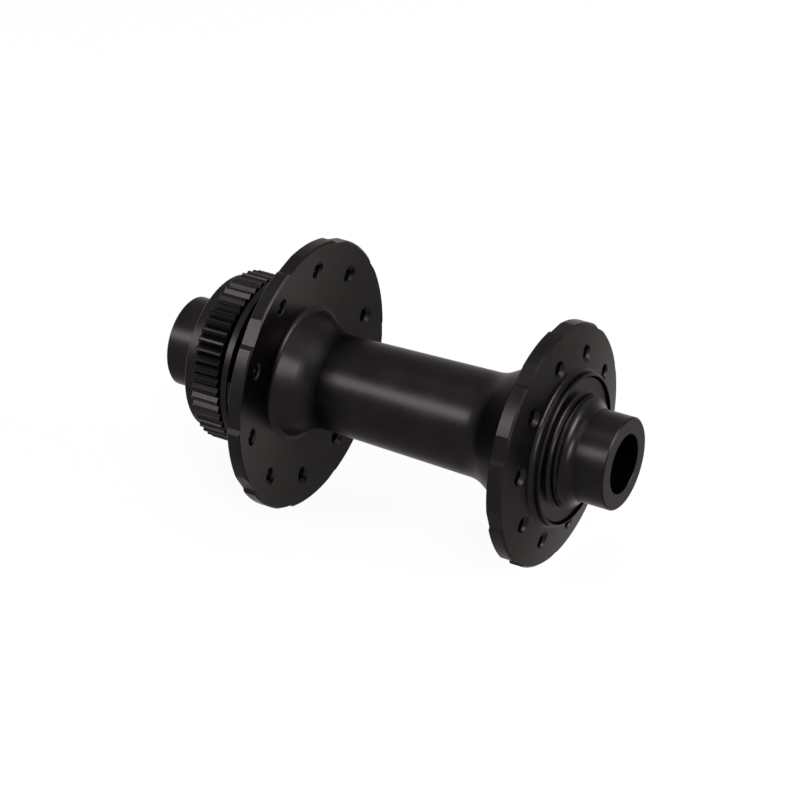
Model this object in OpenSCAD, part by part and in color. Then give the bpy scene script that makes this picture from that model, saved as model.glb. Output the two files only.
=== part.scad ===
// Front bicycle hub for a 12 mm thru-axle and a splined brake rotor.
// The axle runs along Y, the rotor side is +Y, +Z is up, and the origin is on the axle,
// halfway between the two end faces. All lengths are in millimetres.

/* [Axle and end caps] */
// Distance between the two end faces
over_locknut = 100; // [98:0.5:110]
// Diameter of the thru-axle that the hub takes
thru_axle_d = 12; // [10:0.5:12]
// Radial clearance round the thru-axle
thru_axle_clearance = 0.05; // [0.02:0.01:0.1]
// Height over the axle tube of each collar that locates an inner race
axle_collar_h = 1.4; // [0.8:0.1:1.8]
// Width of each of those collars
axle_collar_w = 3; // [2:0.5:3.5]
// Wall round the axle tube of the nose that seats in the fork end
nose_wall = 1.9; // [1.6:0.05:2.5]
// Thickness of the lip that closes the end cap's socket
nose_lip = 3; // [2:0.25:4]
// Chamfer on the nose's edge
nose_chamfer = 0.3; // [0.2:0.05:0.5]
// Radial clearance of the socket on the axle tube
socket_clearance = 0.04; // [0.02:0.01:0.08]
// Space left between the axle tube's end and the lip
socket_end_gap = 0.1; // [0.05:0.05:0.5]
// Wall of the end cap's spigot, which presses on the inner race
spigot_wall = 1.8; // [1.4:0.05:1.9]
// How far the bell's foot stands out over the nose
bell_drop = 1.9; // [1:0.1:2.2]
// Thickness of the bell's foot before it curves in
bell_foot_t = 0.3; // [0.2:0.05:0.8]
// Radius of the bell's hollow curve
bell_r = 2.5; // [2.3:0.1:4]
// Cord diameter of the O-ring that grips the axle tube
oring_cord_d = 1; // [0.8:0.1:1.2]
// Radial clearance between the O-ring and the axle tube
oring_clearance = 0.03; // [0.01:0.01:0.05]
// Distance from the bearing to the middle of the O-ring
oring_offset = 5.4; // [4.8:0.1:7]

/* [Dust shields] */
// Space between the bearing and the shield's back
shield_gap = 0.5; // [0.3:0.05:0.6]
// Thickness of the shield
shield_t = 1; // [0.6:0.1:1.1]
// Radial gap between the shield's edge and the turning shell
shield_edge_gap = 0.32; // [0.3:0.01:0.5]
// Width of the shield's raised hub round the spigot
shield_hub_w = 2; // [1.6:0.05:2.5]
// Height of the raised hub over the shield's face
shield_hub_h = 1.5; // [1.2:0.1:1.8]
// Radius of the hollow at the foot of the raised hub
shield_fillet = 0.9; // [0.5:0.05:1]
// Width along the axle of the rubber wiper between the shield's hub and the bell
wiper_w = 0.3; // [0.25:0.05:0.5]
// Height of the wiper over the spigot
wiper_h = 1.7; // [1.2:0.05:1.8]

/* [Bearings] */
// Bore of each bearing, which is also the axle tube's diameter
bearing_bore = 15; // [14.6:0.1:15.4]
// Outer diameter of each bearing
bearing_od = 28; // [27:0.1:28.4]
// Width of each bearing
bearing_w = 7; // [6.6:0.1:7.4]
// Diameter of a ball, as a share of the space between the bearing's bore and its outside
ball_share = 0.6106; // [0.56:0.0002:0.62]
// Number of balls in each bearing
ball_count = 11; // [8:1:11]
// Radial clearance of a ball in its grooves
ball_clearance = 0.04; // [0.02:0.01:0.08]
// Distance from the balls' centres in to the inner race's land, as a share of that space
inner_land_share = 0.2; // [0.18:0.002:0.22]
// Distance from the balls' centres out to the outer race's land, as a share of that space
outer_land_share = 0.2076; // [0.18:0.0002:0.22]
// Small chamfer on the races' edges
race_chamfer = 0.3; // [0.2:0.05:0.4]
// Thickness of a rubber seal
seal_t = 0.5; // [0.4:0.05:0.6]
// How far a seal sits in from the bearing's face
seal_inset = 0.15; // [0.1:0.05:0.2]
// Depth of the step in the outer race that holds a seal
seal_step = 0.4; // [0.3:0.05:0.6]
// Gap between a seal's lip and the inner race
seal_lip_gap = 0.3; // [0.3:0.05:0.4]
// Clearance of a ball in its cage pocket
pocket_clearance = 0.1; // [0.05:0.01:0.15]
// Gap between the cage and each race
cage_gap = 0.45; // [0.35:0.05:0.5]
// Thickness of the cage behind the pockets
cage_web = 0.36; // [0.3:0.02:0.4]
// Width of the cage from the middle of the balls to its open side
cage_front = 1; // [0.6:0.1:1.4]

/* [Shell] */
// Distance from the rotor's seat back to the disc side's bearing
disc_bearing_inset = 0.3; // [0:0.1:1]
// Gap between the barrel's bore and the axle tube
barrel_gap = 0.9; // [0.6:0.1:1.2]
// Wall of the barrel where the rotor side's flare starts
barrel_wall_disc = 1.55; // [1.3:0.05:2.5]
// Wall of the barrel where the plain side's flare starts
barrel_wall_plain = 2.4; // [1.5:0.05:3]
// Distance from the start of the rotor side's flare to its flange
disc_flare_l = 6; // [5.5:0.1:9]
// Distance from the start of the plain side's flare to its flange
plain_flare_l = 13.55; // [13:0.05:16]
// Radius of the hollow curve where a flare starts
flare_r = 8.3; // [6:0.1:10]
// Slope of the cone that follows the curve, from the axle
flare_angle = 30; // [28:1:33]
// How far the shoulder behind each outer race reaches in under it
shoulder_lip = 1.4; // [1.2:0.1:1.6]
// Width of that shoulder before it narrows
shoulder_w = 0.8; // [0.5:0.1:1.2]
// Distance along the axle over which it narrows to the barrel's bore
shoulder_cone_l = 6; // [5:0.25:7]

/* [Plain flange] */
// Distance from the end face in to the rim's inner face
plain_rim_inset = 17.05; // [16:0.05:20]
// Thickness at the rim
plain_rim_w = 3.1; // [2.4:0.05:3.2]
// How far the mouth is wider than the bearing, all round
plain_mouth_step = 1; // [0.9:0.05:1.2]
// Depth of the mouth, down to the bearing
plain_mouth_depth = 2; // [1.7:0.1:2.2]
// Wall of the boss round the mouth, and of the bearing's housing behind it
plain_boss_wall = 0.55; // [0.5:0.05:1.2]
// Height of the boss over the flange at its foot
plain_boss_h = 1.97; // [1.5:0.01:2.2]
// Height of the flange over the boss
plain_flange_h = 9.25; // [8:0.05:12]
// Distance from the rim in to the middle of a spoke hole
plain_hole_margin = 5.7; // [4.5:0.1:6]
// Slope of the outer face, as rise for each millimetre of radius
plain_face_slope = 0.16; // [0.1:0.01:0.24]
// Slope of the inner face
plain_back_slope = 0.14; // [0.05:0.01:0.18]
// Angle of the first spoke hole, from +Z towards +X
plain_hole_angle = -9.24; // [-18:0.01:18]

/* [Disc flange] */
// Distance from the rotor's seat back to the rim's inner face
disc_rim_inset = 11.1; // [10:0.1:12]
// Thickness at the rim
disc_rim_w = 2.95; // [2.4:0.05:3]
// Height of the flange over the groove behind the rotor's collar
disc_flange_h = 12.2; // [11:0.05:14]
// Distance from the rim in to the middle of a spoke hole
disc_hole_margin = 6.05; // [4.5:0.05:6.5]
// Slope of the inner face, as rise for each millimetre of radius
disc_face_slope = 0.16; // [0.04:0.002:0.2]
// Slope of the back face
disc_back_slope = 0.2; // [0.1:0.01:0.24]
// Angle of the first spoke hole, from +Z towards +X
disc_hole_angle = 9.11; // [-18:0.01:18]

/* [Spoke holes and rims] */
// Number of spokes on each flange
spokes_per_flange = 10; // [8:1:12]
// Diameter of a spoke hole
spoke_hole_d = 2.6; // [2.3:0.1:2.8]
// Depth of the countersink on each side of a hole
countersink = 0.5; // [0.2:0.05:0.6]
// Chamfer on the rims' visible edge
rim_chamfer = 0.4; // [0.2:0.05:0.5]
// Chamfer on the rims' far edge
rim_back_chamfer = 0.15; // [0.1:0.05:0.3]
// Depth of each notch in a rim
notch_depth = 0.55; // [0.4:0.05:0.8]
// Angle from a spoke hole to the next notch's step
notch_lead = 9.6; // [8:0.1:12]
// Angle that the step takes
notch_step = 2; // [1.5:0.1:3]
// Angle that the ramp back to the rim takes
notch_ramp = 11; // [8:0.5:13]
// Fillet between the disc flange and the barrel's cone
flange_fillet = 1.5; // [1:0.1:2]
// Fillet between the plain flange's inner face and the bearing's housing
plain_back_fillet = 1.2; // [0.8:0.1:1.6]
// Fillet between the plain flange's outer face and the boss
boss_fillet = 1.05; // [0.8:0.05:1.2]
// Fillet between the disc flange's back and the groove behind the rotor's collar
groove_fillet = 0.6; // [0.4:0.1:0.8]

/* [Rotor spline] */
// Distance from the end face in to the face that the rotor seats on
rotor_seat_inset = 18.7; // [17:0.1:20]
// Width of the collar that has that face
rotor_seat_w = 1.7; // [1.4:0.1:2]
// Height of the collar over the groove behind it
rotor_seat_h = 2.2; // [1.6:0.1:3]
// Step from the bearing's seat out to the bore in front of it
pilot_step = 0.46; // [0.4:0.02:0.6]
// Depth of the lockring's thread outwards from that bore
thread_depth = 0.54; // [0.4:0.02:0.6]
// Length of the thread from the front face
thread_l = 8.2; // [6:0.1:8.4]
// Chamfer at the mouth of the thread
mouth_chamfer = 0.12; // [0.1:0.02:0.3]
// Wall between the thread and the undercut in front of the rotor's seat
undercut_wall = 1; // [0.8:0.05:1.4]
// Width of that undercut
undercut_w = 1.2; // [0.6:0.1:1.4]
// Number of teeth
spline_teeth = 52; // [40:1:60]
// Height of the teeth
tooth_h = 1.41; // [0.9:0.01:1.6]
// Height of the teeth's roots over the undercut
root_step = 0.35; // [0.3:0.01:0.5]
// Share of a tooth's pitch that is its flat top
tooth_top = 0.2; // [0.15:0.05:0.4]
// Share of a tooth's pitch that is the flat between two teeth
tooth_root = 0.1; // [0.05:0.05:0.3]
// Angle of the first tooth's middle, from +X towards -Z
tooth_angle = 1.8; // [-3.4:0.1:3.4]
// Length of the teeth
tooth_l = 6; // [4:0.1:7]
// Length of the smooth lead-in ring in front of the teeth
lead_in_l = 2.5; // [2:0.1:3.5]
// Height of that ring over the undercut
lead_in_step = 0.25; // [0.15:0.01:0.28]
// Number of ribs across the groove behind the collar
rib_count = 4; // [2:1:5]
// Angle that each rib takes
rib_angle = 15; // [8:1:25]
// Angle of the first rib's middle, from +Z towards +X
rib_first = -83.5; // [-90:0.5:90]

/* [Hidden] */
$fn = 96;

// Colours of the finishes
black_anodised = [0.17, 0.165, 0.17];
satin_black = [0.13, 0.13, 0.135];
bearing_steel = [0.72, 0.73, 0.75];
polished_steel = [0.86, 0.87, 0.88];
black_rubber = [0.07, 0.07, 0.07];
cage_nylon = [0.82, 0.78, 0.66];

// How far a cutting shape reaches past the face it cuts
over = 1;

// Small chamfers that break the edges
boss_edge = 0.3;
seat_edge = 0.2;
tooth_edge = 0.25;
shield_edge = 0.15;
bell_edge = 0.15;
wiper_edge = 0.08;
bore_edge = 0.1;

// How far a corner's filling is bedded in the two walls it joins
fill_bed = 0.05;

// How far a notch's cutting edges run on past the rim, as multiples of their own length
ramp_run = 1.2;
step_run = 2;

// Share of a seal's thickness that its dished lip loses, and the width of that lip
seal_dish = 0.4;
seal_dish_w = 0.5;

// Room beside the O-ring in its groove
oring_side_room = 0.2;

// Axle and end caps
half_width = over_locknut / 2;
bore_r = thru_axle_d / 2 + thru_axle_clearance;
axle_r = bearing_bore / 2;
collar_r = axle_r + axle_collar_h;
nose_r = axle_r + nose_wall;
socket_r = axle_r + socket_clearance;
axle_end = half_width - nose_lip - socket_end_gap;
spigot_r = axle_r + spigot_wall;
bell_foot_r = nose_r + bell_drop;
bell_l = sqrt(bell_r * bell_r - (bell_r - bell_drop) * (bell_r - bell_drop));
oring_r = axle_r + oring_clearance + oring_cord_d / 2;
oring_groove_w = oring_cord_d + oring_side_room;

// Bearings
seat_r = bearing_od / 2;
pitch_r = (bearing_bore + bearing_od) / 4;
section_h = (bearing_od - bearing_bore) / 2;
ball_d = section_h * ball_share;
groove_r = ball_d / 2 + ball_clearance;
inner_land_r = pitch_r - section_h * inner_land_share;
outer_land_r = pitch_r + section_h * outer_land_share;
seal_seat_r = outer_land_r + seal_step;
seal_back = seal_inset + seal_t;
cage_back = ball_d / 2 + pocket_clearance + cage_web;

// Radii of the shell
barrel_bore_r = axle_r + barrel_gap;
barrel_r_disc = barrel_bore_r + barrel_wall_disc;
barrel_r_plain = barrel_bore_r + barrel_wall_plain;
plain_mouth_r = seat_r + plain_mouth_step;
plain_boss_r = plain_mouth_r + plain_boss_wall;
plain_rim_r = plain_boss_r + plain_flange_h;
plain_hole_r = plain_rim_r - plain_hole_margin;
pilot_r = seat_r + pilot_step;
thread_r = pilot_r + thread_depth;
undercut_r = thread_r + undercut_wall;
spline_root_r = undercut_r + root_step;
spline_top_r = spline_root_r + tooth_h;
lead_in_r = undercut_r + lead_in_step;
rotor_seat_r = undercut_r + rotor_seat_h;
disc_rim_r = undercut_r + disc_flange_h;
disc_hole_r = disc_rim_r - disc_hole_margin;
disc_shield_r = pilot_r - shield_edge_gap;
plain_shield_r = plain_mouth_r - shield_edge_gap;
hole_pitch = 360 / spokes_per_flange;

// Places along the axle, measured outwards from the middle on each side
plain_rim_y = half_width - plain_rim_inset;
rotor_seat_y = half_width - rotor_seat_inset;
disc_rim_y = rotor_seat_y - disc_rim_inset;
flare_start_plain = plain_rim_y - plain_flare_l;
flare_start_disc = disc_rim_y - disc_flare_l;
plain_boss_y = plain_rim_y + plain_rim_w + plain_flange_h * plain_face_slope + plain_boss_h;
plain_bearing_s = plain_boss_y - plain_mouth_depth;
disc_bearing_s = rotor_seat_y - disc_bearing_inset;
groove_back_y = rotor_seat_y - rotor_seat_w;
teeth_back_y = rotor_seat_y + undercut_w;
teeth_front_y = teeth_back_y + tooth_l;
spline_front_y = teeth_front_y + lead_in_l;
thread_back_y = spline_front_y - thread_l;

// Steps outwards from a bearing's outboard face
shield_face = shield_gap + shield_t;
shield_hub_end = shield_face + shield_hub_h;
bell_foot = shield_hub_end + wiper_w;
bell_start = bell_foot + bell_foot_t;
bell_end = bell_start + bell_l;

// Outer face of the plain flange and back face of the disc flange, outwards from the middle
function plain_face_s(r) = plain_rim_y + plain_rim_w + (plain_rim_r - r) * plain_face_slope;
function plain_back_s(r) = plain_rim_y + (plain_rim_r - r) * plain_back_slope;
function disc_face_s(r) = disc_rim_y + (disc_rim_r - r) * disc_face_slope;
function disc_back_s(r) = disc_rim_y + disc_rim_w + (disc_rim_r - r) * disc_back_slope;

// Radius and place where a flare's curve ends and its cone begins, and the cone's radius at s
function flare_knee_r(base) = base + flare_r * (1 - cos(flare_angle));
function flare_knee_s(start) = start + flare_r * sin(flare_angle);
function cone_r(base, start, s) = flare_knee_r(base) + (s - flare_knee_s(start)) * tan(flare_angle);

// How far out a flare's cone reaches the radius r
function cone_s(base, start, r) = flare_knee_s(start) + (r - flare_knee_r(base)) / tan(flare_angle);

// Where a flare's cone meets a flange's face that leans by slope and is at face_0 on the axle
function meet_s(base, start, face_0, slope) =
    (face_0 - slope * (flare_knee_r(base) - flare_knee_s(start) * tan(flare_angle)))
    / (1 + slope * tan(flare_angle));

function unit(v) = v / norm(v);

// Turns a shape drawn round Z so that its Z runs along the axle, towards the rotor side
module along_axle() {
    rotate([-90, 0, 0]) children();
}

// Draws a shape in the plain side's direction: its Z runs outwards, towards -Y
module plain_side() {
    along_axle() mirror([0, 0, 1]) children();
}

module disc_side() {
    along_axle() children();
}

// Turns a shape on +X to an angle measured from +Z towards +X
module at_angle(angle) {
    rotate([0, 0, angle - 90]) children();
}

// Solid of revolution whose points give a radius and a place along the axle
module revolve(points) {
    rotate_extrude() polygon(points);
}

// Fills the hollow corner at p, between edges that leave it along a and b, with a round
module corner_fill(p, a, b, radius) {
    half = acos(unit(a) * unit(b)) / 2;
    reach = radius / tan(half);
    middle = p + unit(unit(a) + unit(b)) * radius / sin(half);
    bed = -fill_bed * unit(unit(a) + unit(b));
    difference() {
        polygon([p + bed, p + unit(a) * reach + bed, p + unit(a) * reach, middle,
                 p + unit(b) * reach, p + unit(b) * reach + bed]);
        translate(middle) circle(r = radius);
    }
}

// Flare from the barrel to a flange, outwards from the middle, up to the place named end
module flare(base, start, end) {
    knee_r = flare_knee_r(base);
    knee_s = flare_knee_s(start);
    difference() {
        polygon([[0, start], [base, start], [knee_r, start], [knee_r, knee_s], [0, knee_s]]);
        translate([base + flare_r, start]) circle(r = flare_r);
    }
    polygon([[0, knee_s], [knee_r, knee_s], [cone_r(base, start, end), end], [0, end]]);
}

// Plain side of the shell's outside, outwards from the middle
module plain_outline() {
    rim_r = plain_rim_r;
    boss_r = plain_boss_r;
    face_s = plain_face_s(rim_r);
    housing_s = cone_s(barrel_r_plain, flare_start_plain, boss_r);
    boss_back = plain_back_s(boss_r);
    boss_foot = plain_face_s(boss_r);
    edge = boss_edge;
    flare(barrel_r_plain, flare_start_plain, housing_s);
    polygon([
        [0, housing_s], [boss_r, housing_s], [boss_r, boss_back],
        [rim_r - rim_back_chamfer, plain_rim_y], [rim_r, plain_rim_y + rim_back_chamfer],
        [rim_r, face_s - rim_chamfer], [rim_r - rim_chamfer, plain_face_s(rim_r - rim_chamfer)],
        [boss_r, boss_foot], [boss_r, plain_boss_y - edge], [boss_r - edge, plain_boss_y],
        [0, plain_boss_y]
    ]);
    corner_fill([boss_r, boss_back], [0, -1], [1, -plain_back_slope], plain_back_fillet);
    corner_fill([boss_r, boss_foot], [0, 1], [1, -plain_face_slope], boss_fillet);
}

// Disc side of the shell's outside, outwards from the middle, without the teeth
module disc_outline() {
    rim_r = disc_rim_r;
    core_r = undercut_r;
    collar = rotor_seat_r;
    edge = seat_edge;
    corner_s = meet_s(barrel_r_disc, flare_start_disc, disc_face_s(0), disc_face_slope);
    corner_r = cone_r(barrel_r_disc, flare_start_disc, corner_s);
    flare(barrel_r_disc, flare_start_disc, corner_s);
    polygon([
        [0, disc_face_s(0)], [rim_r - rim_chamfer, disc_face_s(rim_r - rim_chamfer)],
        [rim_r, disc_rim_y + rim_chamfer], [rim_r, disc_back_s(rim_r) - rim_back_chamfer],
        [rim_r - rim_back_chamfer, disc_back_s(rim_r)], [core_r, disc_back_s(core_r)],
        [0, disc_back_s(core_r)]
    ]);
    polygon([[0, corner_s], [corner_r, corner_s], [corner_r, corner_s + over], [0, disc_face_s(0) + over]]);
    corner_fill([corner_r, corner_s], [-tan(flare_angle), -1], [1, -disc_face_slope], flange_fillet);
    corner_fill([core_r, disc_back_s(core_r)], [0, 1], [1, -disc_back_slope], groove_fillet);
    polygon([
        [0, disc_back_s(core_r) - over], [core_r, disc_back_s(core_r) - over], [core_r, groove_back_y],
        [collar - edge, groove_back_y], [collar, groove_back_y + edge], [collar, rotor_seat_y - edge],
        [collar - edge, rotor_seat_y], [core_r, rotor_seat_y], [core_r, teeth_back_y],
        [lead_in_r, teeth_back_y], [lead_in_r, spline_front_y - edge],
        [lead_in_r - edge, spline_front_y], [0, spline_front_y]
    ]);
}

// Everything inside the shell's walls, as one shape along the axle from the plain end to the disc end
module shell_hollow() {
    mouth_r = plain_mouth_r;
    bore = barrel_bore_r;
    lip_r = seat_r - shoulder_lip;
    plain_back = plain_bearing_s - bearing_w;
    disc_back = disc_bearing_s - bearing_w;
    revolve([
        [0, -plain_boss_y - over], [mouth_r, -plain_boss_y - over], [mouth_r, -plain_bearing_s],
        [seat_r, -plain_bearing_s], [seat_r, -plain_back], [lip_r, -plain_back],
        [lip_r, -plain_back + shoulder_w], [bore, -plain_back + shoulder_w + shoulder_cone_l],
        [bore, disc_back - shoulder_w - shoulder_cone_l], [lip_r, disc_back - shoulder_w],
        [lip_r, disc_back], [seat_r, disc_back], [seat_r, disc_bearing_s], [pilot_r, disc_bearing_s],
        [pilot_r, thread_back_y - thread_depth], [thread_r, thread_back_y],
        [thread_r, spline_front_y - mouth_chamfer],
        [thread_r + mouth_chamfer + over, spline_front_y + over], [0, spline_front_y + over]
    ]);
}

// One countersunk spoke hole through a flange whose faces are at low and high, on the +X side
module spoke_hole(radius, low, high) {
    hole_r = spoke_hole_d / 2;
    flare_h = countersink + over / 2;
    translate([radius, 0, low - over]) cylinder(h = high - low + 2 * over, r = hole_r);
    translate([radius, 0, high - countersink])
        cylinder(h = flare_h, r1 = hole_r, r2 = hole_r + flare_h);
    translate([radius, 0, low + countersink - flare_h])
        cylinder(h = flare_h, r1 = hole_r + flare_h, r2 = hole_r);
}

// Notch in a rim of radius rim_r: a short step in, then a flat ramp back out
module rim_notch(rim_r, low, high) {
    step_out = rim_r * [cos(notch_step / 2), -sin(notch_step / 2)];
    step_in = (rim_r - notch_depth) * [cos(notch_step / 2), sin(notch_step / 2)];
    ramp_end = rim_r * [cos(notch_step / 2 + notch_ramp), sin(notch_step / 2 + notch_ramp)];
    ramp_past = step_in + (ramp_end - step_in) * ramp_run;
    step_past = step_in + (step_out - step_in) * step_run;
    clear = rim_r + 3 * over;
    translate([0, 0, low - over]) linear_extrude(high - low + 2 * over)
        polygon([step_in, ramp_past, [clear, ramp_past.y], [clear, step_past.y], step_past]);
}

// Spoke holes and rim notches of one flange
module flange_cuts(first, radius, rim_r, hole_low, hole_high, rim_low, rim_high) {
    for (i = [0 : spokes_per_flange - 1]) {
        at_angle(first + i * hole_pitch) spoke_hole(radius, hole_low, hole_high);
        at_angle(first + notch_lead + i * hole_pitch) rim_notch(rim_r, rim_low, rim_high);
    }
}

// Outline of the toothed ring across the axle
module spline_outline() {
    pitch = 360 / spline_teeth;
    corners = [[spline_root_r, -0.5 + tooth_root / 2], [spline_top_r, -tooth_top / 2],
               [spline_top_r, tooth_top / 2], [spline_root_r, 0.5 - tooth_root / 2]];
    polygon([for (i = [0 : spline_teeth - 1], c = corners)
             c[0] * [cos(tooth_angle + (i + c[1]) * pitch), sin(tooth_angle + (i + c[1]) * pitch)]]);
}

// Teeth that carry the rotor, chamfered at both ends
module spline_ring() {
    edge_r = spline_top_r - tooth_edge;
    clear = tooth_edge + over;
    intersection() {
        translate([0, 0, teeth_back_y]) linear_extrude(tooth_l) spline_outline();
        revolve([[0, teeth_back_y], [edge_r, teeth_back_y], [edge_r + clear, teeth_back_y + clear],
                 [edge_r + clear, teeth_front_y - clear], [edge_r, teeth_front_y],
                 [0, teeth_front_y]]);
    }
}

// Ribs that cross the groove between the disc flange and the rotor's collar
module collar_ribs() {
    core_r = undercut_r - over;
    rib_r = rotor_seat_r - seat_edge;
    for (i = [0 : rib_count - 1])
        at_angle(rib_first + i * 360 / rib_count - rib_angle / 2)
            rotate_extrude(angle = rib_angle)
                polygon([[core_r, groove_back_y + over / 2], [core_r, disc_back_s(core_r) - over],
                         [rib_r, disc_back_s(rib_r) - over], [rib_r, groove_back_y + over / 2]]);
}

module hub_shell() {
    color(black_anodised) along_axle() difference() {
        union() {
            rotate_extrude() {
                mirror([0, 1]) plain_outline();
                disc_outline();
                polygon([[0, -flare_start_plain], [barrel_r_plain, -flare_start_plain],
                         [barrel_r_disc, flare_start_disc], [0, flare_start_disc]]);
            }
            spline_ring();
            collar_ribs();
        }
        shell_hollow();
        flange_cuts(disc_hole_angle, disc_hole_r, disc_rim_r, disc_face_s(disc_hole_r),
                    disc_back_s(disc_hole_r), disc_rim_y, disc_rim_y + disc_rim_w);
        flange_cuts(plain_hole_angle, plain_hole_r, plain_rim_r, -plain_face_s(plain_hole_r),
                    -plain_back_s(plain_hole_r), -plain_rim_y - plain_rim_w, -plain_rim_y);
    }
}

// Outer race of a bearing whose outboard face is at s
module outer_race(s) {
    out_r = seat_r;
    land_r = outer_land_r;
    c = race_chamfer;
    color(bearing_steel) difference() {
        revolve([
            [seal_seat_r, s], [out_r - c, s], [out_r, s - c], [out_r, s - bearing_w + c],
            [out_r - c, s - bearing_w], [seal_seat_r, s - bearing_w],
            [seal_seat_r, s - bearing_w + seal_back], [land_r, s - bearing_w + seal_back],
            [land_r, s - seal_back], [seal_seat_r, s - seal_back]
        ]);
        ball_track(s);
    }
}

// Inner race of that bearing
module inner_race(s) {
    land_r = inner_land_r;
    c = race_chamfer;
    color(bearing_steel) difference() {
        revolve([
            [axle_r, s], [land_r - c, s], [land_r, s - c], [land_r, s - bearing_w + c],
            [land_r - c, s - bearing_w], [axle_r, s - bearing_w]
        ]);
        ball_track(s);
    }
}

// Ring that the balls sweep, with their clearance, which grooves both races
module ball_track(s) {
    translate([0, 0, s - bearing_w / 2]) rotate_extrude() translate([pitch_r, 0]) circle(r = groove_r);
}

module ball_circle(s, radius) {
    for (i = [0 : ball_count - 1])
        rotate([0, 0, i * 360 / ball_count]) translate([pitch_r, 0, s - bearing_w / 2]) sphere(r = radius);
}

module balls(s) {
    color(polished_steel) ball_circle(s, ball_d / 2);
}

// Crown cage: a ring behind the balls with pockets that are open outboard
module cage(s) {
    in_r = inner_land_r + cage_gap;
    out_r = outer_land_r - cage_gap;
    mid = s - bearing_w / 2;
    color(cage_nylon) difference() {
        revolve([[in_r, mid - cage_back], [out_r, mid - cage_back], [out_r, mid + cage_front],
                 [in_r, mid + cage_front]]);
        ball_circle(s, ball_d / 2 + pocket_clearance);
    }
}

// Rubber seal whose outboard face is at s
module bearing_seal(s) {
    lip_r = inner_land_r + seal_lip_gap;
    dish_s = s - seal_t * seal_dish;
    color(black_rubber)
        revolve([[lip_r, s - seal_t], [lip_r, dish_s], [lip_r + seal_dish_w, dish_s],
                 [lip_r + seal_dish_w + seal_t, s], [seal_seat_r, s], [seal_seat_r, s - seal_t]]);
}

module axle_tube() {
    plain_back = plain_bearing_s - bearing_w;
    disc_back = disc_bearing_s - bearing_w;
    c = nose_chamfer;
    color(satin_black) along_axle() revolve([
        [bore_r, -axle_end], [axle_r - c, -axle_end], [axle_r, -axle_end + c],
        [axle_r, -plain_back], [collar_r, -plain_back], [collar_r, -plain_back + axle_collar_w - c],
        [collar_r - c, -plain_back + axle_collar_w], [axle_r, -plain_back + axle_collar_w],
        [axle_r, disc_back - axle_collar_w], [collar_r - c, disc_back - axle_collar_w],
        [collar_r, disc_back - axle_collar_w + c], [collar_r, disc_back], [axle_r, disc_back],
        [axle_r, axle_end - c], [axle_r - c, axle_end], [bore_r, axle_end]
    ]);
}

// End cap on a bearing whose outboard face is at s: socket, spigot, bell and nose
module end_cap(s) {
    c = nose_chamfer;
    floor_s = half_width - nose_lip;
    color(black_anodised) rotate_extrude() difference() {
        polygon([
            [bore_r, floor_s], [bore_r, half_width - bore_edge], [bore_r + bore_edge, half_width],
            [nose_r - c, half_width], [nose_r, half_width - c], [nose_r, s + bell_end],
            [bell_foot_r, s + bell_end], [bell_foot_r, s + bell_foot + bell_edge],
            [bell_foot_r - bell_edge, s + bell_foot], [spigot_r, s + bell_foot],
            [spigot_r, s], [socket_r, s], [socket_r, floor_s]
        ]);
        translate([nose_r + bell_r, s + bell_end]) circle(r = bell_r);
        translate([socket_r - over, s + oring_offset - oring_groove_w / 2])
            square([oring_r + oring_cord_d / 2 - socket_r + over, oring_groove_w]);
    }
}

module cap_oring(s) {
    color(black_rubber) translate([0, 0, s + oring_offset])
        rotate_extrude() translate([oring_r, 0]) circle(d = oring_cord_d);
}

// Shield pressed on the end cap's spigot, with its edge in the shell's mouth
module dust_shield(s, edge_r) {
    hub_r = spigot_r + shield_hub_w;
    c = shield_edge;
    foot = [hub_r + shield_fillet, s + shield_face + shield_fillet];
    color(black_anodised) rotate_extrude() difference() {
        polygon([[spigot_r, s + shield_gap], [edge_r, s + shield_gap], [edge_r, s + shield_face - c],
                 [edge_r - c, s + shield_face], [foot.x, s + shield_face], foot, [hub_r, foot.y],
                 [hub_r, s + shield_hub_end - c], [hub_r - c, s + shield_hub_end],
                 [spigot_r, s + shield_hub_end]]);
        translate(foot) circle(r = shield_fillet);
    }
}

// Rubber ring between the shield's hub and the bell
module wiper(s) {
    out_r = spigot_r + wiper_h;
    c = wiper_edge;
    color(black_rubber)
        revolve([[spigot_r, s + shield_hub_end], [out_r - c, s + shield_hub_end],
                 [out_r, s + shield_hub_end + c], [out_r, s + bell_foot - c],
                 [out_r - c, s + bell_foot], [spigot_r, s + bell_foot]]);
}

hub_shell();
disc_side() outer_race(disc_bearing_s);  // outer_race_disc
plain_side() outer_race(plain_bearing_s);  // outer_race_plain
disc_side() inner_race(disc_bearing_s);  // inner_race_disc
plain_side() inner_race(plain_bearing_s);  // inner_race_plain
disc_side() balls(disc_bearing_s);  // balls_disc
plain_side() balls(plain_bearing_s);  // balls_plain
disc_side() cage(disc_bearing_s);  // cage_disc
plain_side() cage(plain_bearing_s);  // cage_plain
disc_side() bearing_seal(disc_bearing_s - seal_inset);  // outboard_seal_disc
plain_side() bearing_seal(plain_bearing_s - seal_inset);  // outboard_seal_plain
disc_side() translate([0, 0, 2 * disc_bearing_s - bearing_w]) mirror([0, 0, 1])  // inboard_seal_disc
        bearing_seal(disc_bearing_s - seal_inset);
plain_side() translate([0, 0, 2 * plain_bearing_s - bearing_w]) mirror([0, 0, 1])  // inboard_seal_plain
        bearing_seal(plain_bearing_s - seal_inset);
axle_tube();
disc_side() end_cap(disc_bearing_s);  // end_cap_disc
plain_side() end_cap(plain_bearing_s);  // end_cap_plain
disc_side() cap_oring(disc_bearing_s);  // cap_oring_disc
plain_side() cap_oring(plain_bearing_s);  // cap_oring_plain
disc_side() dust_shield(disc_bearing_s, disc_shield_r);  // dust_shield_disc
plain_side() dust_shield(plain_bearing_s, plain_shield_r);  // dust_shield_plain
disc_side() wiper(disc_bearing_s);  // wiper_disc
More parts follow.
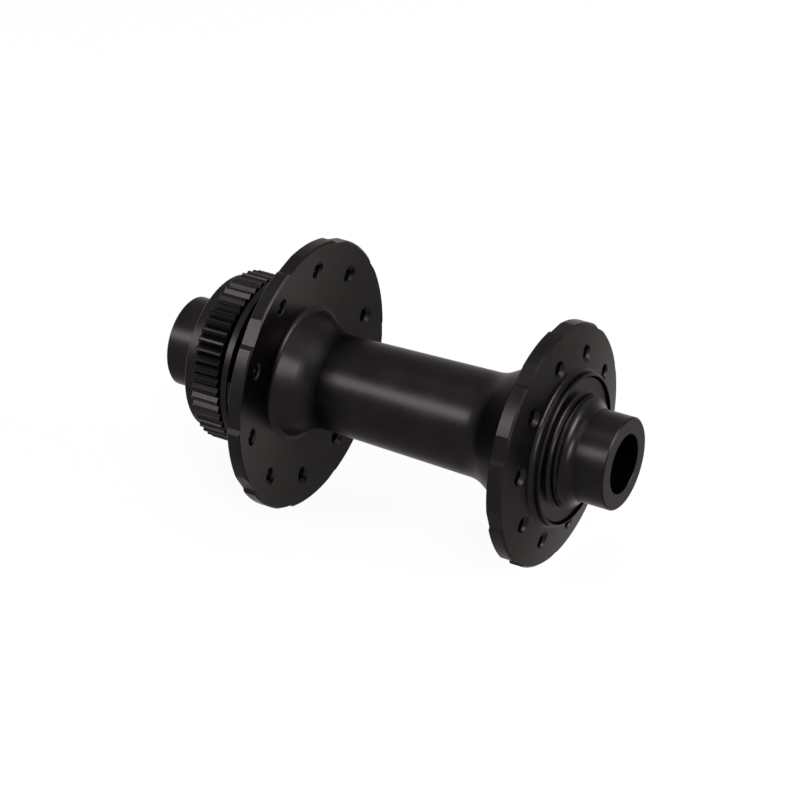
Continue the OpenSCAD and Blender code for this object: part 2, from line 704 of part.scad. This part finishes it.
plain_side() wiper(plain_bearing_s);  // wiper_plain
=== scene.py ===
"""Bicycle front hub: its finishes, fine moulded and threaded details, studio and camera."""
import logging
import math
from dataclasses import dataclass
from enum import Enum
from typing import Callable, ClassVar

import bpy
from mathutils import Matrix, Vector


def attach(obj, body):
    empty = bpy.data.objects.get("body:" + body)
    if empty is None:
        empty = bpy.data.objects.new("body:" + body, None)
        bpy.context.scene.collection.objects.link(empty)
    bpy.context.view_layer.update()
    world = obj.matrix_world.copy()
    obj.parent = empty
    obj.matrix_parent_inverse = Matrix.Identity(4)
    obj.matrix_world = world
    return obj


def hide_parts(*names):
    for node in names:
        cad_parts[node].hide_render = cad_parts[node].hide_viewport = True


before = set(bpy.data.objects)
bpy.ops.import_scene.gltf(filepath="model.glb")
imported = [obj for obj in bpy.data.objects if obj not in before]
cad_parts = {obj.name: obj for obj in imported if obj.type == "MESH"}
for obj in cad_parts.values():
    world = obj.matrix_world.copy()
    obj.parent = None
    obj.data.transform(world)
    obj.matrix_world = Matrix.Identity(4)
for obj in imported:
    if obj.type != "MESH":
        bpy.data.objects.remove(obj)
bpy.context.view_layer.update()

MM = 0.001
# Vertices that lie closer than this, in metres, are merged into one
WELD = 0.001 * MM
# How close, in millimetres, a vertex lies to the size that it is picked by
NEAR = 0.02
# Edges that turn by less than this, in degrees, are shaded smooth
SMOOTH_BELOW = 35
WHITE = (1.0, 1.0, 1.0, 1.0)
LOG = logging.getLogger("front_hub")


class Side(Enum):
    """The two ends of the hub, with the direction of each along the axle."""

    DISC = 1
    PLAIN = -1

    @property
    def tag(self) -> str:
        """The word that ends this side's node and body names."""
        return self.name.lower()


class Ray(Enum):
    """The kinds of ray that see the white background as it is."""

    CAMERA = "Is Camera Ray"
    GLOSSY = "Is Glossy Ray"
    TRANSMISSION = "Is Transmission Ray"


# Colours and nodes

def linear(code: str) -> tuple[float, float, float, float]:
    """Turns an sRGB hex colour into linear numbers.

    Args:
        code: Six hex digits after a hash.

    Returns:
        Red, green, blue and an alpha of 1.
    """
    parts = [int(code[i:i + 2], 16) / 255 for i in (1, 3, 5)]
    red, green, blue = (c / 12.92 if c <= 0.04045 else ((c + 0.055) / 1.055) ** 2.4 for c in parts)
    return red, green, blue, 1.0


def add_node(tree: bpy.types.NodeTree, kind: str, inputs: dict | None = None,
             **settings: object) -> bpy.types.Node:
    """Adds a node with its settings, values and links.

    Args:
        tree: The node tree that it goes into.
        kind: The node's type.
        inputs: For each input's name or number, a value or the output that feeds it.
        settings: The node's own properties.

    Returns:
        The new node.
    """
    node = tree.nodes.new(kind)
    for key, value in settings.items():
        setattr(node, key, value)
    for key, value in (inputs or {}).items():
        if isinstance(value, bpy.types.NodeSocket):
            tree.links.new(value, node.inputs[key])
        else:
            node.inputs[key].default_value = value
    return node


def new_material(name: str) -> tuple[bpy.types.Material, bpy.types.NodeTree]:
    """Makes a material with an empty node tree.

    Args:
        name: The material's name.

    Returns:
        The material and its tree.
    """
    material = bpy.data.materials.new(name)
    material.use_nodes = True
    material.node_tree.nodes.clear()
    return material, material.node_tree


def lathe_run(tree: bpy.types.NodeTree, place: bpy.types.NodeSocket) -> bpy.types.NodeSocket:
    """Gives the distance that a lathe's tool has run along a surface turned about the axle.

    It is the place along the axle plus the distance from it, so that its steps are rings on
    a cylinder, on a cone and on a flat face alike.

    Args:
        tree: The material's tree.
        place: The socket with the place on the object.

    Returns:
        The socket with that distance in metres.
    """
    split = add_node(tree, "ShaderNodeSeparateXYZ", {0: place})
    flat = add_node(tree, "ShaderNodeCombineXYZ", {0: split.outputs[0], 2: split.outputs[2]})
    radius = add_node(tree, "ShaderNodeVectorMath", {0: flat.outputs[0]}, operation="LENGTH")
    total = add_node(tree, "ShaderNodeMath", {0: split.outputs[1], 1: radius.outputs["Value"]},
                     operation="ADD")
    return total.outputs[0]


# Finishes

@dataclass(frozen=True)
class Finish:
    """What every finish has: two close colours, a roughness that follows them, and a grain.

    The spread is how far the roughness strays to either side. Lengths are in millimetres.
    """

    name: str
    low: str
    high: str
    roughness: float
    spread: float
    grain: float
    grain_depth: float

    # Where the pattern's values, which crowd round a half, reach the low and the high colour
    pattern_ends: ClassVar[tuple[float, float]] = (0.36, 0.64)
    grain_raggedness: ClassVar[float] = 0.55

    def pattern(self, tree: bpy.types.NodeTree, place: bpy.types.NodeSocket
                ) -> tuple[bpy.types.NodeSocket, dict, dict]:
        """Makes what sets this kind of finish apart.

        Args:
            tree: The material's tree.
            place: The socket with the place on the object.

        Returns:
            The pattern that the colour and the roughness follow, the inputs that lay the grain
            on a coarser relief, and the shader's own inputs.
        """
        raise NotImplementedError

    def build(self) -> bpy.types.Material:
        """Builds the material.

        Returns:
            The material, with its colour, roughness and relief from nodes.
        """
        material, tree = new_material(self.name)
        place = add_node(tree, "ShaderNodeTexCoord").outputs["Object"]
        pattern, under, optics = self.pattern(tree, place)
        tint = add_node(tree, "ShaderNodeValToRGB", {"Fac": pattern})
        for stop, end, code in zip(tint.color_ramp.elements, self.pattern_ends,
                                   (self.low, self.high)):
            stop.position, stop.color = end, linear(code)
        rough = add_node(tree, "ShaderNodeMapRange", {
            "Value": pattern, "From Min": self.pattern_ends[0], "From Max": self.pattern_ends[1],
            "To Min": self.roughness - self.spread, "To Max": self.roughness + self.spread})
        grain = add_node(tree, "ShaderNodeTexNoise", {
            "Vector": place, "Scale": 1 / (self.grain * MM), "Detail": 2.0,
            "Roughness": self.grain_raggedness})
        relief = add_node(tree, "ShaderNodeBump", {
            "Height": grain.outputs["Fac"], "Strength": 1.0, "Distance": self.grain_depth * MM,
            **under})
        shader = add_node(tree, "ShaderNodeBsdfPrincipled", {
            "Base Color": tint.outputs["Color"], "Roughness": rough.outputs[0],
            "Normal": relief.outputs[0], **optics})
        add_node(tree, "ShaderNodeOutputMaterial", {"Surface": shader.outputs[0]})
        return material


@dataclass(frozen=True)
class TurnedMetal(Finish):
    """A metal that is turned on a lathe, with tool rings, a finer grain and faint patches.

    The edge is the tint of its gloss at a glancing angle, and the ring share is how much of the
    pattern the rings make up, where patches make up the rest.
    """

    ring_pitch: float
    ring_depth: float
    edge: str = "#ffffff"
    ring_share: float = 0.4
    patch: float = 7.0

    def pattern(self, tree: bpy.types.NodeTree, place: bpy.types.NodeSocket
                ) -> tuple[bpy.types.NodeSocket, dict, dict]:
        """Mixes patches and tool rings, and cuts the rings into the surface.

        Args:
            tree: The material's tree.
            place: The socket with the place on the object.

        Returns:
            The pattern, the inputs that lay the grain on the rings, and the shader's own inputs.
        """
        # Patches a few millimetres wide, where the bath or the blast took a little differently
        patches = add_node(tree, "ShaderNodeTexNoise", {
            "Vector": place, "Scale": 1 / (self.patch * MM), "Detail": 3.0, "Roughness": 0.6})
        # Tool rings, uneven as feed marks are
        rings = add_node(tree, "ShaderNodeTexNoise", {
            "W": lathe_run(tree, place), "Scale": 1 / (self.ring_pitch * MM), "Detail": 2.0,
            "Roughness": 0.7}, noise_dimensions="1D")
        ring_part = add_node(tree, "ShaderNodeMath", {
            0: rings.outputs["Fac"], 1: self.ring_share}, operation="MULTIPLY")
        mixed = add_node(tree, "ShaderNodeMath", {
            0: patches.outputs["Fac"], 1: 1 - self.ring_share, 2: ring_part.outputs[0]},
            operation="MULTIPLY_ADD")
        ring_relief = add_node(tree, "ShaderNodeBump", {
            "Height": rings.outputs["Fac"], "Strength": 1.0, "Distance": self.ring_depth * MM})
        return (mixed.outputs[0], {"Normal": ring_relief.outputs[0]},
                {"Metallic": 1.0, "Specular Tint": linear(self.edge)})


@dataclass(frozen=True)
class MouldedPolymer(Finish):
    """A moulded rubber or plastic, with the fine grain of its mould and faint flecks."""

    ior: float
    fleck: float

    pattern_ends: ClassVar[tuple[float, float]] = (0.35, 0.65)
    grain_raggedness: ClassVar[float] = 0.5

    def pattern(self, tree: bpy.types.NodeTree, place: bpy.types.NodeSocket
                ) -> tuple[bpy.types.NodeSocket, dict, dict]:
        """Makes the flecks.

        Args:
            tree: The material's tree.
            place: The socket with the place on the object.

        Returns:
            The pattern, no inputs for a coarser relief, and the shader's own inputs.
        """
        flecks = add_node(tree, "ShaderNodeTexNoise", {
            "Vector": place, "Scale": 1 / (self.fleck * MM), "Detail": 4.0, "Roughness": 0.65})
        return flecks.outputs["Fac"], {}, {"Metallic": 0.0, "IOR": self.ior}


# Aluminium turned, bead-blasted and anodised black: a soft satin sheen with hardly a ring left.
# The real blast is about 0.05 mm, drawn at 0.35 mm so that it shows.
BLASTED_BLACK = TurnedMetal(
    "black_anodised_aluminium_blasted", low="#1c1a1a", high="#211f1f", roughness=0.33,
    spread=0.02, grain=0.35, grain_depth=0.0016, ring_pitch=0.5, ring_depth=0.0004,
    edge="#d6d3d2", ring_share=0.1)
# The same aluminium anodised straight off the lathe: tighter streaks and visible feed rings.
# The real feed is about 0.1 mm, drawn at 0.3 mm so that it shows.
TURNED_BLACK = TurnedMetal(
    "black_anodised_aluminium_turned", low="#1c1a1a", high="#211f1f", roughness=0.3,
    spread=0.02, grain=0.3, grain_depth=0.0008, ring_pitch=0.3, ring_depth=0.0006,
    edge="#d6d3d2", ring_share=0.3)
# Hard-anodised tube, drawn and skimmed: darker and a little duller.
HARD_BLACK = TurnedMetal(
    "hard_anodised_aluminium_tube", low="#1a1818", high="#1f1d1d", roughness=0.36,
    spread=0.03, grain=0.3, grain_depth=0.001, ring_pitch=0.35, ring_depth=0.001,
    edge="#d6d3d2", ring_share=0.3)
# Bearing steel, ground: bright, with hair-fine rings, drawn at 0.2 mm so that they show.
GROUND_STEEL = TurnedMetal(
    "ground_bearing_steel", low="#b4b6b9", high="#c6c8ca", roughness=0.24,
    spread=0.04, grain=0.25, grain_depth=0.0005, ring_pitch=0.2, ring_depth=0.0015)
# Chrome steel balls, lapped and polished like a mirror.
LAPPED_STEEL = TurnedMetal(
    "lapped_chrome_steel", low="#c8cacc", high="#d2d4d6", roughness=0.07,
    spread=0.02, grain=0.5, grain_depth=0.0001, ring_pitch=0.8, ring_depth=0.0001)
# Nitrile rubber, moulded: matt black with a faint bloom.
NITRILE = MouldedPolymer(
    "moulded_nitrile_rubber", low="#19191a", high="#232324", roughness=0.6, spread=0.05,
    grain=0.2, grain_depth=0.003, ior=1.52, fleck=1.6)
# Nylon 66, moulded and left its natural cream.
NYLON = MouldedPolymer(
    "moulded_nylon_66", low="#d3cba9", high="#ded7bb", roughness=0.45, spread=0.05,
    grain=0.3, grain_depth=0.003, ior=1.53, fleck=2.2)


# Modelling by operator

def start_section(name: str, columns: int, radii: tuple[float, float],
                  places: tuple[float, float]) -> bpy.types.Object:
    """Adds a flat grid to be a turned piece's section, and opens it in edit mode.

    The grid lies in the plane of X and Y, with X as the radius and Y along the axle.

    Args:
        name: The piece's name.
        columns: The number of cells along the radius.
        radii: The inner and outer radius, in millimetres.
        places: The lower and upper place along the axle, in millimetres.

    Returns:
        The piece, in edit mode with nothing selected.
    """
    bpy.ops.object.select_all(action="DESELECT")
    middle = Vector((sum(radii) / 2, sum(places) / 2, 0)) * MM
    bpy.ops.mesh.primitive_grid_add(x_subdivisions=columns, y_subdivisions=1, size=MM,
                                    location=middle)
    piece = bpy.context.object
    piece.name = piece.data.name = name
    piece.scale = (radii[1] - radii[0], places[1] - places[0], 1)
    bpy.ops.object.transform_apply(location=True, rotation=True, scale=True)
    bpy.ops.object.mode_set(mode="EDIT")
    bpy.ops.mesh.select_all(action="DESELECT")
    return piece


def pick_vertices(piece: bpy.types.Object, test: Callable[[int, float, float], bool]) -> None:
    """Selects the vertices that pass a test, and the edges between them.

    Args:
        piece: The piece in edit mode.
        test: Tells from a vertex's number, and from its radius and its place along the axle in
            millimetres, whether it is wanted.
    """
    bpy.ops.mesh.select_all(action="DESELECT")
    bpy.ops.object.mode_set(mode="OBJECT")
    for vertex in piece.data.vertices:
        x, y, z = vertex.co / MM
        vertex.select = test(vertex.index, math.hypot(x, z), y)
    bpy.ops.object.mode_set(mode="EDIT")


def spin_section(piece: bpy.types.Object, steps: int) -> None:
    """Spins the section once round the axle into a closed piece with smooth shading.

    Args:
        piece: The piece in edit mode.
        steps: The number of steps in the turn.
    """
    bpy.ops.mesh.select_all(action="SELECT")
    bpy.ops.mesh.dissolve_faces()
    bpy.ops.mesh.delete(type="ONLY_FACE")
    bpy.ops.mesh.select_all(action="SELECT")
    bpy.ops.mesh.spin(steps=steps, angle=2 * math.pi, center=(0, 0, 0), axis=(0, 1, 0))
    close_piece(piece)


def close_piece(piece: bpy.types.Object) -> None:
    """Merges a piece's doubles, turns its faces outwards and leaves edit mode.

    Args:
        piece: The piece in edit mode.
    """
    bpy.ops.mesh.select_all(action="SELECT")
    bpy.ops.mesh.remove_doubles(threshold=WELD)
    bpy.ops.mesh.normals_make_consistent(inside=False)
    bpy.ops.object.mode_set(mode="OBJECT")
    bpy.ops.object.select_all(action="DESELECT")
    piece.select_set(True)
    bpy.context.view_layer.objects.active = piece
    bpy.ops.object.shade_smooth_by_angle(angle=math.radians(SMOOTH_BELOW))
    piece.select_set(False)


def dress(piece: bpy.types.Object, material: bpy.types.Material) -> None:
    """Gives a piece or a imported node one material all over.

    Args:
        piece: The object to dress.
        material: The finish for all its faces.
    """
    piece.data.materials.clear()
    piece.data.materials.append(material)
    for polygon in piece.data.polygons:
        polygon.material_index = 0


def dress_side(side: Side, finishes: dict[str, bpy.types.Material]) -> None:
    """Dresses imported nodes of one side.

    Args:
        side: The side.
        finishes: The finish of each node, by the node's name without the side's tag.
    """
    for stem, material in finishes.items():
        dress(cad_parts[f"{stem}_{side.tag}"], material)


# Sub-assemblies

@dataclass(frozen=True)
class LockringThread:
    """The lockring's thread, a ridge that winds round the shell's recess.

    Sizes are in millimetres. The root share is how much of the pitch the ridge's foot takes, and
    the crest is how wide its top is.
    """

    minor_r: float = 14.46
    major_r: float = 15.03
    pitch: float = 1.0
    root_share: float = 0.92
    crest: float = 0.22
    start_y: float = 32.9
    turns: int = 7
    steps: int = 120

    def model(self) -> bpy.types.Object:
        """Models the ridge, a wedge screwed round the bore.

        Returns:
            The ridge.
        """
        root = self.root_share * self.pitch
        piece = start_section("lockring_thread_ridge", columns=1, radii=(self.minor_r, self.major_r),
                              places=(self.start_y, self.start_y + root))
        middle = self.start_y + root / 2
        pick_vertices(piece, lambda _, radius, place: radius < self.minor_r + NEAR)
        bpy.ops.transform.resize(value=(1, self.crest / root, 1),
                                 center_override=(self.minor_r * MM, middle * MM, 0))
        bpy.ops.object.mode_set(mode="OBJECT")
        bpy.ops.object.modifier_add(type="SCREW")
        screw = piece.modifiers[-1]
        screw.axis = "Y"
        screw.screw_offset = self.pitch * MM
        screw.iterations = self.turns
        screw.steps = screw.render_steps = self.steps
        bpy.ops.object.modifier_apply(modifier=screw.name)
        bpy.ops.object.mode_set(mode="EDIT")
        close_piece(piece)
        return piece


@dataclass(frozen=True)
class RotorSpline:
    """The skin of the rotor's spline, V-shaped teeth with narrow crests.

    It lies on the shell's own teeth, crest on crest, and gives their flanks the slope of about
    45 degrees that shows in the light. Sizes are in millimetres, the first tooth's angle is in
    degrees, and the inner share is the ring's inside as a share of its outline.
    """

    teeth: int = 52
    first_tooth: float = 1.8
    apex_r: float = 17.865
    valley_r: float = 16.885
    inner_share: float = 0.93
    start_y: float = 32.49
    end_y: float = 38.51
    crest_bevel: float = 0.13

    def zigzag(self) -> bpy.types.Object:
        """Draws the teeth's outline at their inboard end, a circle pulled out at each crest.

        Returns:
            The outline, in edit mode.
        """
        start = (0, self.start_y * MM, 0)
        bpy.ops.object.select_all(action="DESELECT")
        bpy.ops.mesh.primitive_circle_add(
            vertices=2 * self.teeth, radius=self.valley_r * MM, fill_type="NOTHING",
            location=start, rotation=(math.radians(90), 0, 0))
        piece = bpy.context.object
        piece.name = piece.data.name = "rotor_spline_skin"
        bpy.ops.object.transform_apply(location=True, rotation=True, scale=True)
        first = piece.data.vertices[0].co.copy()
        bpy.ops.object.mode_set(mode="EDIT")
        pick_vertices(piece, lambda index, radius, place: index % 2 == 0)
        grow = self.apex_r / self.valley_r
        bpy.ops.transform.resize(value=(grow, 1, grow), center_override=start)
        bpy.ops.mesh.select_all(action="SELECT")
        turn = math.atan2(-first.z, first.x) - math.radians(self.first_tooth)
        bpy.ops.transform.rotate(value=turn, orient_axis="Y", center_override=start)
        return piece

    def model(self) -> bpy.types.Object:
        """Models the skin as a closed ring, from the teeth's outline.

        Returns:
            The skin.
        """
        piece = self.zigzag()
        length = (self.end_y - self.start_y) * MM
        bpy.ops.mesh.extrude_region_move(TRANSFORM_OT_translate={"value": (0, length, 0)})
        middle = (self.start_y + self.end_y) / 2
        for side, end in ((-1, self.start_y), (1, self.end_y)):
            pick_vertices(piece, lambda _, radius, place: (place - middle) * side > 0)
            bpy.ops.mesh.extrude_region_move()
            bpy.ops.transform.resize(value=(self.inner_share, 1, self.inner_share),
                                     center_override=(0, end * MM, 0))
        pick_vertices(piece, lambda _, radius, place: radius < self.valley_r - NEAR)
        bpy.ops.mesh.bridge_edge_loops()
        pick_vertices(piece, lambda _, radius, place: radius > self.apex_r - NEAR)
        bpy.ops.mesh.bevel(offset=self.crest_bevel * MM, segments=1, affect="EDGES")
        close_piece(piece)
        return piece


@dataclass
class Shell:
    """The turning shell, with its lockring thread and the skin of its rotor spline."""

    material: bpy.types.Material
    thread: LockringThread = LockringThread()
    spline: RotorSpline = RotorSpline()

    def build(self) -> None:
        """Dresses the shell and adds its thread and its spline's skin."""
        dress(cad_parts["hub_shell"], self.material)
        for detail in (self.thread, self.spline):
            piece = detail.model()
            dress(piece, self.material)
            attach(piece, "hub_shell")
            LOG.info("shell's %s of %d faces", piece.name, len(piece.data.polygons))
        LOG.info("shell dressed")


# How far each bearing's outboard face lies from the hub's middle, in millimetres
BEARING_FACES = {Side.DISC: 31.0, Side.PLAIN: 37.5}


@dataclass
class Bearing:
    """One sealed ball bearing: races, balls, cage, and the outboard seal with moulded ridges.

    The seal's sizes are in millimetres, and its inset is how far it lies below the bearing's face.
    """

    side: Side
    steel: bpy.types.Material
    balls: bpy.types.Material
    cage: bpy.types.Material
    rubber: bpy.types.Material
    lip_r: float = 9.75
    seat_r: float = 12.5
    inset: float = 0.15
    thickness: float = 0.5
    ridge: float = 0.1
    columns: int = 22
    steps: int = 144
    # Each band's first and last column, and how many ridges it stands out
    bands: tuple[tuple[int, int, float], ...] = (
        (0, 3, -0.5), (5, 6, 1.0), (8, 15, -1.2), (17, 18, 1.0))
    band_taper: float = 0.9

    def seal(self) -> bpy.types.Object:
        """Models the outboard seal, with two ridges, a sunk band and a thin lip.

        Returns:
            The seal.
        """
        out = self.side.value
        outer = BEARING_FACES[self.side] - self.inset
        face, back = out * outer, out * (outer - self.thickness)
        piece = start_section(f"ridged_seal_{self.side.tag}", self.columns,
                              radii=(self.lip_r, self.seat_r),
                              places=(min(face, back), max(face, back)))
        cell = (self.seat_r - self.lip_r) / self.columns
        for first, last, lift in self.bands:
            low, high = self.lip_r + first * cell, self.lip_r + last * cell
            pick_vertices(piece, lambda _, radius, place: (
                low - NEAR < radius < high + NEAR and abs(place - face) < NEAR))
            bpy.ops.mesh.extrude_region_move(
                TRANSFORM_OT_translate={"value": (0, out * lift * self.ridge * MM, 0)})
            bpy.ops.transform.resize(
                value=(self.band_taper, 1, 1),
                center_override=((low + high) / 2 * MM, face * MM, 0))
        spin_section(piece, self.steps)
        return piece

    def build(self) -> None:
        """Dresses the bearing's nodes and puts the ridged seal in the plain one's place."""
        tag = self.side.tag
        dress_side(self.side, {
            "outer_race": self.steel, "inner_race": self.steel, "balls": self.balls,
            "cage": self.cage, "outboard_seal": self.rubber, "inboard_seal": self.rubber})
        seal = self.seal()
        dress(seal, self.rubber)
        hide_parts(f"outboard_seal_{tag}")
        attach(seal, "hub_shell")
        LOG.info("%s bearing dressed, seal of %d faces", tag, len(seal.data.polygons))


@dataclass
class EndCap:
    """One push-on end cap, with its O-ring, dust shield and rubber wiper."""

    side: Side
    metal: bpy.types.Material
    shield: bpy.types.Material
    rubber: bpy.types.Material

    def build(self) -> None:
        """Dresses the cap's nodes."""
        dress_side(self.side, {"end_cap": self.metal, "dust_shield": self.shield,
                               "cap_oring": self.rubber, "wiper": self.rubber})
        LOG.info("%s end cap dressed", self.side.tag)


@dataclass
class Axle:
    """The axle sleeve that the bearings and the caps sit on."""

    material: bpy.types.Material

    def build(self) -> None:
        """Dresses the sleeve."""
        dress(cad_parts["axle_tube"], self.material)
        LOG.info("axle sleeve dressed")


# Studio

def toward(azimuth: float, elevation: float) -> Vector:
    """Gives the way from the hub's middle to a compass direction and a height.

    Args:
        azimuth: The compass direction in degrees. From 0, one looks along +Y.
        elevation: The height in degrees.

    Returns:
        A vector one long.
    """
    turn, tilt = math.radians(azimuth), math.radians(elevation)
    return Vector((math.sin(turn) * math.cos(tilt), -math.cos(turn) * math.cos(tilt),
                   math.sin(tilt)))


@dataclass(frozen=True)
class SoftBox:
    """A rectangular lamp that faces the hub. Its sizes are in metres, its angles in degrees."""

    name: str
    azimuth: float
    elevation: float
    distance: float
    width: float
    height: float
    radiance: float

    def add(self) -> None:
        """Adds the lamp."""
        way = toward(self.azimuth, self.elevation)
        bpy.ops.object.light_add(type="AREA", location=way * self.distance)
        lamp = bpy.context.object
        lamp.name = self.name
        lamp.rotation_euler = way.to_track_quat("Z", "Y").to_euler()
        lamp.data.shape = "RECTANGLE"
        lamp.data.size, lamp.data.size_y = self.width, self.height
        lamp.data.energy = self.radiance * math.pi * self.width * self.height


def seen_as_white(tree: bpy.types.NodeTree) -> bpy.types.NodeSocket:
    """Tells whether a ray is one that shows the background, as 1 or 0.

    Args:
        tree: The tree of the floor's material or of the world.

    Returns:
        The socket with that number.
    """
    path = add_node(tree, "ShaderNodeLightPath")
    total = path.outputs[Ray.CAMERA.value]
    for ray in (Ray.GLOSSY, Ray.TRANSMISSION):
        total = add_node(tree, "ShaderNodeMath", {0: total, 1: path.outputs[ray.value]},
                         operation="ADD", use_clamp=True).outputs[0]
    return total


@dataclass
class Studio:
    """The white floor, the world and the lamps. Its sizes are in metres."""

    floor_z: float = -0.0285
    floor_size: float = 14.0
    paper: str = "#f4f4f4"
    glow: float = 0.93
    world_light: float = 0.15
    lamps: tuple[SoftBox, ...] = (
        SoftBox("side_softbox", azimuth=-122, elevation=34, distance=0.9,
                width=0.2, height=0.27, radiance=24.0),
        SoftBox("front_softbox", azimuth=-48, elevation=27, distance=1.0,
                width=0.18, height=0.48, radiance=27.0),
        SoftBox("end_softbox", azimuth=14, elevation=20, distance=0.9,
                width=0.4, height=0.28, radiance=25.0),
        SoftBox("overhead_softbox", azimuth=-60, elevation=80, distance=1.2,
                width=1.0, height=1.0, radiance=1.8),
    )

    def floor(self) -> None:
        """Adds the floor, which glows white to the eye and still takes the hub's shadow."""
        bpy.ops.object.select_all(action="DESELECT")
        bpy.ops.mesh.primitive_plane_add(size=self.floor_size, location=(0, 0, self.floor_z))
        floor = bpy.context.object
        floor.name = "studio_floor"
        material, tree = new_material("white_studio_paper")
        matt = add_node(tree, "ShaderNodeBsdfDiffuse", {"Color": linear(self.paper)})
        glow = add_node(tree, "ShaderNodeEmission", {"Color": WHITE, "Strength": 1.0})
        share = add_node(tree, "ShaderNodeMath", {0: seen_as_white(tree), 1: self.glow},
                         operation="MULTIPLY")
        mix = add_node(tree, "ShaderNodeMixShader",
                       {0: share.outputs[0], 1: matt.outputs[0], 2: glow.outputs[0]})
        add_node(tree, "ShaderNodeOutputMaterial", {"Surface": mix.outputs[0]})
        dress(floor, material)

    def world(self) -> None:
        """Makes the world white to the eye and a plain light on everything else."""
        world = bpy.data.worlds.new("white_studio")
        bpy.context.scene.world = world
        world.use_nodes = True
        tree = world.node_tree
        tree.nodes.clear()
        strength = add_node(tree, "ShaderNodeMapRange", {
            "Value": seen_as_white(tree), "To Min": self.world_light, "To Max": 1.0})
        back = add_node(tree, "ShaderNodeBackground",
                        {"Color": WHITE, "Strength": strength.outputs[0]})
        add_node(tree, "ShaderNodeOutputWorld", {"Surface": back.outputs[0]})

    def build(self) -> None:
        """Builds the whole studio."""
        self.floor()
        self.world()
        for lamp in self.lamps:
            lamp.add()
        LOG.info("studio with %d lamps", len(self.lamps))


@dataclass
class Camera:
    """The camera that was fitted to the photograph. Its place is in metres and degrees."""

    azimuth: float = -60.07
    elevation: float = 29.83
    distance: float = 0.61302
    aside: float = 0.00004
    above: float = -0.00002
    focal_px: float = 3058.8
    frame_px: float = 800.0
    sensor_mm: float = 36.0
    farthest: float = 50.0

    def build(self) -> None:
        """Adds the camera and makes it the scene's own."""
        back = toward(self.azimuth, self.elevation)
        right = toward(self.azimuth + 90, 0)
        up = back.cross(right)
        bpy.ops.object.camera_add()
        camera = bpy.context.object
        camera.name = "photo_camera"
        place = back * self.distance - right * self.aside - up * self.above
        turned = Matrix((right, up, back)).transposed().to_4x4()
        camera.matrix_world = Matrix.Translation(place) @ turned
        camera.data.sensor_width = self.sensor_mm
        camera.data.lens = self.focal_px / self.frame_px * self.sensor_mm
        camera.data.clip_end = self.farthest
        bpy.context.scene.camera = camera
        LOG.info("camera with a lens of %.1f mm", camera.data.lens)


def main() -> None:
    """Builds the camera, the sub-assemblies and the studio in order."""
    logging.basicConfig(level=logging.INFO, format="%(name)s: %(message)s")
    bpy.context.scene.view_settings.view_transform = "Standard"
    blasted, turned, tube, ground, lapped, rubber, nylon = (
        finish.build() for finish in (BLASTED_BLACK, TURNED_BLACK, HARD_BLACK, GROUND_STEEL,
                                      LAPPED_STEEL, NITRILE, NYLON))
    Camera().build()
    Shell(blasted).build()
    for side in Side:
        Bearing(side, steel=ground, balls=lapped, cage=nylon, rubber=rubber).build()
        EndCap(side, metal=turned, shield=blasted, rubber=rubber).build()
    Axle(tube).build()
    Studio().build()


if __name__ == "__main__":
    main()
